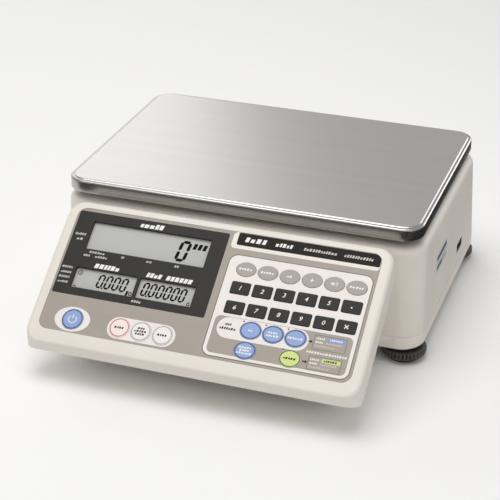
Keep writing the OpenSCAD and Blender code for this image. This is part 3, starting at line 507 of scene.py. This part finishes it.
FLANGE = {"round": 0.6, "white": 0.6, "blue": 0.2, "oval": 0.6, "num": 0.85}
def key_symbol(p, name, kind, x, v):
    T, T2 = 0.25, 0.29
    if kind == "num":
        if name[4:] in "0123456789":
            p.glyph(name[4:], x, v + 0.2, 3.7, T, T2, "print_white")
        elif name == "key_point":
            p.prism([ellipse(x, v - 0.6, 0.65, 0.65, 16)], T, T2, "print_white")
        else:                                        # clear: a plain cross
            for s in (1, -1):
                c, d = 1.5, 0.42
                p.prism([[(x - c - d * s * 0.7, v - c * s + d * 0.7), (x - c + d * s * 0.7, v - c * s - d * 0.7), (x + c + d * s * 0.7, v + c * s - d * 0.7), (x + c - d * s * 0.7, v + c * s + d * 0.7)][::s]], T, T2 + 0.005 * s, "print_white")
    elif name == "key_on_off":                       # a power sign
        r1, r2 = 3.5, 2.8
        a = [math.radians(t) for t in range(128, 413, 6)]
        p.prism([[(x + r1 * math.cos(t), v + r1 * math.sin(t)) for t in a] + [(x + r2 * math.cos(t), v + r2 * math.sin(t)) for t in reversed(a)]], T, T2, "print_white")
        p.prism([rrect(x - 0.36, v + 0.6, x + 0.36, v + 4.2, 0.3, 3)], T, T2, "print_white")
    elif kind == "oval":
        if name == "key_plus":
            p.prism([[(x - 0.35, v - 1.5), (x + 0.35, v - 1.5), (x + 0.35, v - 0.35), (x + 1.5, v - 0.35), (x + 1.5, v + 0.35), (x + 0.35, v + 0.35),
                      (x + 0.35, v + 1.5), (x - 0.35, v + 1.5), (x - 0.35, v + 0.35), (x - 1.5, v + 0.35), (x - 1.5, v - 0.35), (x - 0.35, v - 0.35)]], T, T2, "print_white")
        elif name == "key_beep":                     # a sounder and two waves
            p.prism([[(x - 2.6, v - 0.7), (x - 1.6, v - 0.7), (x - 0.3, v - 1.7), (x - 0.3, v + 1.7), (x - 1.6, v + 0.7), (x - 2.6, v + 0.7)]], T, T2, "print_white")
            for r in (1.5, 2.6):
                a = [math.radians(t) for t in range(-48, 49, 8)]
                p.prism([[(x + r * math.cos(t), v + r * math.sin(t)) for t in a] + [(x + (r - 0.4) * math.cos(t), v + (r - 0.4) * math.sin(t)) for t in reversed(a)]], T, T2, "print_white")
        else:
            n = {"key_print": 5, "key_total": 5, "key_memory": 2, "key_reset": 5}[name]
            wd = 1.15 * n
            blocks(p, x - wd, v - 0.85, x + wd, v + 0.85, n, "print_white", sum(map(ord, name)), T)
    else:
        dark = "print_dark" if kind == "white" or name == "key_enter" else "print_white"
        rows = {"key_zero": [(0, 4)], "key_preset_tare": [(2.4, 3), (0, 5), (-2.4, 4)], "key_tare": [(0, 4)], "key_unit_recall": [(0, 2)],
                "key_unit_entry": [(1.2, 4), (-1.4, 5)], "key_unit_sample": [(-0.1, 6)], "key_unit_set": [(2.3, 5), (0, 4), (-2.3, 6)], "key_enter": [(0, 5)]}[name]
        for dv, n in rows:
            blocks(p, x - 1.05 * n, v + dv - 0.8, x + 1.05 * n, v + dv + 0.8, n, dark, n + int(10 * dv) + 50, T)

def blocks(p, x0, v0, x1, v1, count, m, seed, w):
    rnd = random.Random(seed)
    widths = [rnd.uniform(0.75, 1.15) for _ in range(count)]
    pitch = (x1 - x0 - 0.22 * (v1 - v0)) / sum(widths)
    x = x0
    for k in widths:
        p.prism([quad(x, v0, x + k * pitch * 0.68, v0 + (v1 - v0) * rnd.choice((1, 1, 0.75)), 0.22)], w, w + 0.04, m)
        x += k * pitch

RIM = {"key_on_off": "print_navy", "key_zero": "print_red", "key_preset_tare": "print_bluegrey", "key_tare": "print_bluegrey", "key_enter": "print_navy"}
for name, (kind, x, v) in KEYS.items():
    slot = SLOTS[name]
    p = Piece(name + "_cap")
    f = FLANGE[kind]
    prof = [(-0.1, -2.9), (f, -2.9), (f, -1.9), (0, -1.9), (0, -0.3), (0, -0.05), (-0.06, 0.08), (-0.16, 0.18), (-0.3, 0.235), (-0.5, 0.25), (-1.2, 0.25)]
    if kind == "blue":
        prof = [(-0.1, -2.9), (0.2, -2.9), (0.2, -1.9)] + prof[3:]
    p.loft([[(a, b, w) for a, b in key_loop(kind, x, v, d)] for d, w in prof], slot)
    p.loft([[(a, b, w) for a, b in ellipse(x, v, 2.0, 2.0, 24)] for w in (-3.5, -2.9)], slot)
    if kind in ("blue", "round", "white"):
        rim = RIM.get(name, "print_navy")
        wide = 0.8 if kind != "white" else 0.6
        d0 = -0.45 if kind != "white" else -0.5
        p.prism([key_loop(kind, x, v, d0), list(reversed(key_loop(kind, x, v, d0 - wide)))], 0.25, 0.275, rim)
    if name == "key_zero":
        p.prism([key_loop(kind, x, v, -1.05)], 0.25, 0.262, "print_pink")
    key_symbol(p, name, kind, x, v)
    p.done(BODY[name], [name], angle=28, weld=False)

# ------------------------------------------------------------------ fascia print
p = Piece("fascia_print")
def key_holes(names, g=0.2):
    return [list(reversed(key_loop(*KEYS[n], g))) for n in names]
F0 = -0.3
inside = {"strip": (6.3, 40.9, 126.6, 55.1)}
p.prism([rrect(6.3, 40.9, 126.5, 55.1, 3.2)], F0, F0 + 0.03, "fascia_cream")
p.prism([rrect(10.4, 44.1, 126.2, 55.0, 1.2)], F0 + 0.03, F0 + 0.06, "print_dark")
right = [n for n, k in KEYS.items() if k[1] > 0]
upper = [n for n in right if KEYS[n][2] > -15]
lower = [n for n in right if KEYS[n][2] < -15]
# The dark ring round the light keypad block is a painted shadow line.
p.prism([rrect(8.7, -51.8, 124.8, 36.0, 7), list(reversed(rrect(9.35, -51.1, 124.15, 35.4, 6.4)))], F0, F0 + 0.03, "fascia_line_and_painted_shadow")
p.prism([rrect(9.4, -51.0, 124.1, 35.3, 6.4)] + key_holes(right), F0, F0 + 0.04, "fascia_light")
p.prism([rrect(12.2, -48.7, 121.4, -17.2, 4.2)] + key_holes(lower), F0 + 0.04, F0 + 0.07, "fascia")
p.prism([rrect(15.3, -35.2, 88.2, -17.6, 8.7)] + key_holes(["key_unit_recall", "key_unit_entry", "key_unit_sample"]), F0 + 0.07, F0 + 0.10, "fascia_light")
p.prism([ellipse(-100.2, RL, 14.8, 10.5, 72)] + key_holes(["key_on_off"]), F0, F0 + 0.03, "fascia_light")
three = key_holes(["key_zero", "key_preset_tare", "key_tare"])
p.prism([rrect(-70.2, -51.9, -14.2, -33.5, 9.1, 12)] + three, F0, F0 + 0.03, "fascia_light")
pink = [(a, b) for a, b in rrect(-69.9, -51.6, -51.6, -33.8, 8.8, 12) if a < -60] + [(-52.2, -33.8), (-52.2, -51.6)]
pink = [(a, b) for a, b in rrect(-69.9, -51.6, -40, -33.8, 8.8, 12) if a < -60.4]
pink = pink + [(-51.4, -51.6), (-51.4, -33.8)]
p.prism([pink] + key_holes(["key_zero"]), F0 + 0.03, F0 + 0.045, "print_pink")
# rows of plain blocks where the captions stand
Z = F0 + 0.06
def row(x0, v0, x1, v1, n, m, seed, w=Z):
    blocks(p, x0, v0, x1, v1, n, m, seed, w)
row(16.5, 47.6, 35.5, 51.8, 4, "print_white", 61)
row(41.5, 47.9, 56.5, 51.2, 5, "print_white", 62)
row(64.5, 48.3, 92, 50.7, 12, "print_grey", 63)
row(97, 48.3, 121, 50.7, 11, "print_grey", 64)
row(21.0, -24.6, 26.6, -22.6, 4, "print_dark", 65, F0 + 0.10)
row(17.4, -28.2, 31.2, -26.2, 7, "print_dark", 66, F0 + 0.10)
G = F0 + 0.07
for n, (k, x, v) in KEYS.items():
    if n in ("key_unit_recall", "key_unit_entry", "key_unit_sample"):
        p.prism([ellipse(x - 7.2, v + 6.6, 0.75, 0.75, 16)], F0 + 0.10, F0 + 0.13, "print_red")
p.prism([ellipse(KEYS["key_enter"][1] - 7.0, RL + 6.7, 0.6, 0.6, 16)], G, G + 0.03, "print_dark")
for (x0, v0, x1, v1), fill, vk in (((91.6, -31.4, 117.2, -19.4), "print_blue", RB), ((91.4, -48.2, 117.2, -36.8), "print_lime", RL)):
    p.prism([rrect(x0, v0, x1, v1, 0.6, 2), list(reversed(rrect(x0 + 0.4, v0 + 0.4, x1 - 0.4, v1 - 0.4, 0.4, 2)))], G, G + 0.03, "fascia_line_and_painted_shadow")
    p.prism([rrect(x0 + 10.5, v1 - 4.2, x1 - 1.0, v1 - 1.0, 0.4, 2)], G, G + 0.02, fill)
    row(x0 + 12, v1 - 3.3, x1 - 3, v1 - 1.9, 6, "print_white" if fill == "print_blue" else "print_dark", int(x0), G + 0.02)
    row(x0 + 1.6, v1 - 3.5, x0 + 8.8, v1 - 2.0, 5, "print_white", int(x0) + 1, G)
    row(x0 + 1.6, v1 - 6.6, x0 + 8.0, v1 - 5.2, 4, "print_white", int(x0) + 2, G)
    row(x0 + 10, v1 - 6.6, x1 - 3.0, v1 - 5.2, 8, "print_grey", int(x0) + 3, G)
    row(x0 + 1.6, v1 - 9.6, x1 - 8.0, v1 - 8.2, 9, "print_grey", int(x0) + 4, G)
    p.prism([[(87.4, vk - 0.5), (89.6, vk - 0.5), (89.6, vk - 1.4), (91.3, vk), (89.6, vk + 1.4), (89.6, vk + 0.5), (87.4, vk + 0.5)]], G, G + 0.03, "print_dark")
row(88.5, -34.9, 120.6, -33.3, 15, "print_white", 90, G)
p.done("case", weld=False)

# ------------------------------------------------------------------ label on the right side
def on_side(y, z, w):
    return Vector((154.5 - 1.5 * (z - 24.8) / 71.2 + w, y, z)) * MM
p = Piece("side_label")
p.prism([rrect(0, 57.5, 38, 73.5, 1.2)], 0.0, 0.12, "label_foil", on_side)
p.prism([rrect(1.5, 67.9, 36.5, 71.0, 0.5)], 0.12, 0.15, "label_blue", on_side)
p.prism([rrect(1.5, 59.7, 20, 62.4, 0.5)], 0.12, 0.15, "label_blue", on_side)
p.prism([rrect(22, 59.6, 36, 60.2, 0.2)], 0.12, 0.14, "print_bluegrey", on_side)
p.prism([rrect(22, 61.6, 34, 62.2, 0.2)], 0.12, 0.14, "print_bluegrey", on_side)
p.done("case", weld=False)

p = Piece("dc_inlet_liner")
def in_recess(y, z, x):
    return Vector((x, y, z)) * MM
p.prism([rrect(83.15, 34.65, 104.85, 43.35, 0.8), list(reversed(rrect(83.7, 35.2, 104.3, 42.8, 0.5)))], 150.9, 153.7, "black_plastic", in_recess)
p.prism([rrect(83.15, 34.65, 104.85, 43.35, 0.8), list(reversed(ellipse(94.5, 39, 3.9, 3.7, 40)))], 150.15, 150.9, "black_plastic", in_recess)
p.done("case", weld=False)

# ------------------------------------------------------------------ levelling feet
FEET = {"fl": (-139, -39), "fr": (139, -39), "rl": (-138, 147), "rr": (138, 147)}
for c, (fx, fy) in FEET.items():
    p = Piece("foot_wheel_" + c + "_knob")
    n, sub = 36, 8
    def ring(r, z, depth):
        out = []
        for k in range(n * sub):
            t = 2 * math.pi * k / (n * sub)
            u = abs(((k / sub) % 1.0) - 0.5) * 2          # 1 at a flute's middle
            out.append((fx + (r - depth * max(0, (u - 0.35) / 0.65) ** 1.5) * math.cos(t), fy + (r - depth * max(0, (u - 0.35) / 0.65) ** 1.5) * math.sin(t), z))
        return out
    prof = [(3.05, 2.8, 0), (3.2, 2.5, 0), (13.9, 2.5, 0), (14.6, 2.62, 0), (15.2, 3.0, 0.1), (17.8, 5.0, 1.0), (18.3, 5.5, 1.25), (18.5, 6.0, 1.35), (18.5, 9.3, 1.35), (18.35, 9.9, 1.25),
            (17.9, 10.35, 0.9), (17.2, 10.58, 0.3), (16.4, 10.6, 0), (5.0, 10.6, 0)]
    p.loft([ring(*q) for q in prof], "black_plastic", upright, cap0=False, cap1=True)
    p.loft([[(fx + 3.0 * math.cos(t * math.pi / 16), fy + 3.0 * math.sin(t * math.pi / 16), z) for t in range(32)] for z in (1.4, 2.8)], "black_plastic", upright)
    # threaded stud
    pitch, z0, z1 = 1.25, 10.4, 31.0
    rows = []
    steps = int((z1 - z0) / pitch * 6)
    for s in range(steps + 1):
        z = z0 + (z1 - z0) * s / steps
        ringp = []
        for t in range(24):
            ph = (z / pitch - t / 24.0) % 1.0
            r = 3.98 - 0.55 * (1 - abs(ph - 0.5) * 2) ** 1.0
            ringp.append((fx + r * math.cos(2 * math.pi * t / 24), fy + r * math.sin(2 * math.pi * t / 24), z))
        rows.append(ringp)
    p.loft(rows, "zinc_steel", upright)
    p.done("foot_wheel_" + c, ["foot_wheel_" + c], angle=38, weld=False)
    p = Piece("foot_pad_" + c + "_ring")
    p.loft([[(x, y, z) for x, y in ellipse(fx, fy, r, r, 64)] for r, z in ((3.1, 1.2), (3.1, 2.3), (3.3, 2.4), (12.9, 2.4), (13.25, 2.3), (13.4, 2.05), (13.4, 1.1), (13.2, 0.7), (12.7, 0.25), (12.2, 0.0), (11.6, 0.0), (11.2, 0.3), (8.0, 0.3), (7.6, 0.0), (0.4, 0.0))],
           "foot_rubber", upright)
    p.done("foot_pad_" + c, ["foot_pad_" + c], angle=40, weld=False)

# ------------------------------------------------------------------ battery cells, contacts, level
p = Piece("battery_cells_wrapped")
for y in (-75.2, -110.2):
    for i in (-1, 0, 1):
        x0 = i * 61.6 - 30.6
        prof = [(4.0, 0.25, "zinc_steel"), (14.5, 0.25, "zinc_steel"), (15.4, 0.0, "zinc_steel"), (16.2, 0.1, "zinc_steel"), (16.8, 0.6, "cell_wrap"), (16.9, 1.2, "cell_wrap"), (16.9, 40, "cell_wrap"),
                (16.9, 41, "wrap_gold"), (16.9, 58.2, "wrap_gold"), (16.6, 58.9, "wrap_gold"), (15.6, 59.2, "zinc_steel"), (9.0, 59.2, "zinc_steel"), (5.2, 59.5, "zinc_steel"), (4.6, 60.0, "zinc_steel"),
                (4.6, 60.9, "zinc_steel"), (4.3, 61.1, "zinc_steel")]
        for a, b in zip(range(len(prof) - 1), range(1, len(prof))):
            p.loft([[(x0 + prof[q][1], y + prof[q][0] * math.cos(t * math.pi / 24), 32.8 + prof[q][0] * math.sin(t * math.pi / 24)) for t in range(48)] for q in (a, b)],
                   prof[b][2], upright, cap0=(a == 0), cap1=(b == len(prof) - 1))
p.done("case", ["battery_cells"], angle=35)

p = Piece("battery_contact_springs")
for y in (-75.2, -110.2):
    for s in (-1, 1):
        p.loft([[(s * x, y + a, 33 + b) for a, b in rrect(-9, -11, 9, 11, 1.5, 4)] for x in (94.5, 94.0)], "contact_metal", upright)
        # a coil of spring wire, or a dimple on the positive end
        if s < 0:
            turns, per = 3, 20
            pts = []
            for k in range(turns * per + 1):
                f = k / (turns * per)
                r = 7.0 - 3.2 * f
                pts.append(Vector((-93.6 + 1.2 * f, y + r * math.cos(2 * math.pi * k / per), 32.8 + r * math.sin(2 * math.pi * k / per))))
            rows = []
            for k, q in enumerate(pts):
                tan = (pts[min(k + 1, len(pts) - 1)] - pts[max(k - 1, 0)]).normalized()
                a = tan.cross(Vector((1, 0, 0))).normalized()
                b = tan.cross(a)
                rows.append([tuple(q + 0.28 * (a * math.cos(t * math.pi / 4) + b * math.sin(t * math.pi / 4))) for t in range(8)])
            p.loft(rows, "contact_metal", upright)
        else:
            p.loft([[(x, y + r * math.cos(t * math.pi / 16), 32.8 + r * math.sin(t * math.pi / 16)) for t in range(32)] for r, x in ((7, 94.0), (6.4, 93.4), (4.6, 92.6), (3.6, 92.25), (1.0, 92.2))], "contact_metal", upright)
p.done("case", ["battery_contacts"], angle=35, weld=False)

p = Piece("level_vial_body")
def disc(r, z):
    return [(-112 + r * math.cos(t * math.pi / 32), 138 + r * math.sin(t * math.pi / 32), z) for t in range(64)]
p.loft([disc(*q) for q in ((9.4, 98.5), (10, 99), (10, 105.2), (9.7, 105.5), (8.3, 105.5), (8.0, 105.3), (8.0, 104.7), (2.0, 104.7))], "black_plastic", upright)
p.loft([disc(*q) for q in ((7.55, 104.7), (7.6, 105.3), (7.0, 105.62), (5.0, 105.98), (2.6, 106.22), (0.6, 106.3))], "level_fluid", upright)
p.loft([[(x, y, z) for x, y, z in disc(r, z)] for r, z in ((2.2, 106.2), (2.2, 106.34), (1.9, 106.34), (1.9, 106.2))], "print_dark", upright, closed=True)
p.done("case", ["level_vial"], angle=35, weld=False)

# ------------------------------------------------------------------ stage: floor, lights, cards
fm = material("floor_paper", [0.97, 0.97, 0.965], 0.9, var=0.004, grain=300, grain_depth=0.01, spec=0.1)
fp = bmesh.new()
for x, y in ((-12, -12), (12, -12), (12, 12), (-12, 12)):
    fp.verts.new((x, y, 0))
fp.faces.new(fp.verts)
me = bpy.data.meshes.new("floor")
fp.to_mesh(me)
fp.free()
me.materials.append(fm)
floor = bpy.data.objects.new("floor", me)
SC.collection.objects.link(floor)

world = bpy.data.worlds.new("studio")
SC.world = world
world.use_nodes = True
world.node_tree.nodes["Background"].inputs[0].default_value = (1.0, 0.99, 0.975, 1)
world.node_tree.nodes["Background"].inputs[1].default_value = 0.46

def area(name, loc, target, sx, sy, power, col=(1, 1, 1)):
    l = bpy.data.lights.new(name, "AREA")
    l.shape, l.size, l.size_y, l.energy, l.color = "RECTANGLE", sx, sy, power, col
    o = bpy.data.objects.new(name, l)
    o.location = loc
    o.rotation_euler = (Vector(target) - Vector(loc)).to_track_quat("-Z", "Y").to_euler()
    o.visible_camera = False
    SC.collection.objects.link(o)
    return o

area("overhead", (-0.15, -0.25, 1.7), (0, 0, 0), 1.5, 1.2, 16)
area("left_back", (-1.45, 1.5, 1.0), (0, 0, 0.1), 1.8, 1.3, 7)
rb = area("right_back", (0.88, 1.7, 0.56), (0, 0.05, 0.12), 1.05, 0.85, 6)
rb.visible_diffuse = False
area("right_front", (1.5, -1.2, 0.7), (0.1, -0.05, 0.06), 0.7, 0.7, 1.8)

def card(name, corners, grey):
    """A dark board that only shapes what shiny surfaces reflect, as a photographer's flag does."""
    b = bmesh.new()
    b.faces.new([b.verts.new(c) for c in corners])
    me = bpy.data.meshes.new(name)
    b.to_mesh(me)
    b.free()
    me.materials.append(material(name + "_paper", [grey] * 3, 0.95, var=0.02, grain=200, spec=0.0))
    o = bpy.data.objects.new(name, me)
    SC.collection.objects.link(o)
    o.visible_camera = o.visible_diffuse = o.visible_shadow = o.visible_transmission = False
    return o

card("flag_front", [(-1.6, -2.2, 0.004), (1.6, -2.2, 0.004), (1.6, -0.19, 0.004), (-1.6, -0.19, 0.004)], 0.03)
card("flag_right", [(0.168, -0.185, 0.004), (1.2, -0.185, 0.004), (1.2, 0.9, 0.004), (0.168, 0.9, 0.004)], 0.03)

# ------------------------------------------------------------------ camera
cam = bpy.data.cameras.new("camera")
cam.sensor_width = 36.0
cam.lens = 107.32
cam.clip_start, cam.clip_end = 0.05, 30
co = bpy.data.objects.new("camera", cam)
SC.collection.objects.link(co)
az, el, roll = math.radians(18.995), math.radians(27.195), math.radians(0.25)
back = Vector((math.sin(az) * math.cos(el), -math.cos(az) * math.cos(el), math.sin(el)))
right_ = Vector((math.cos(az), math.sin(az), 0))
up = back.cross(right_)
r2 = right_ * math.cos(roll) + up * math.sin(roll)
u2 = -right_ * math.sin(roll) + up * math.cos(roll)
co.matrix_world = Matrix(((r2.x, u2.x, back.x, 0.3590), (r2.y, u2.y, back.y, -1.0625), (r2.z, u2.z, back.z, 0.6291), (0, 0, 0, 1)))
SC.camera = co
SC.view_settings.view_transform = "Standard"
SC.view_settings.look = "None"
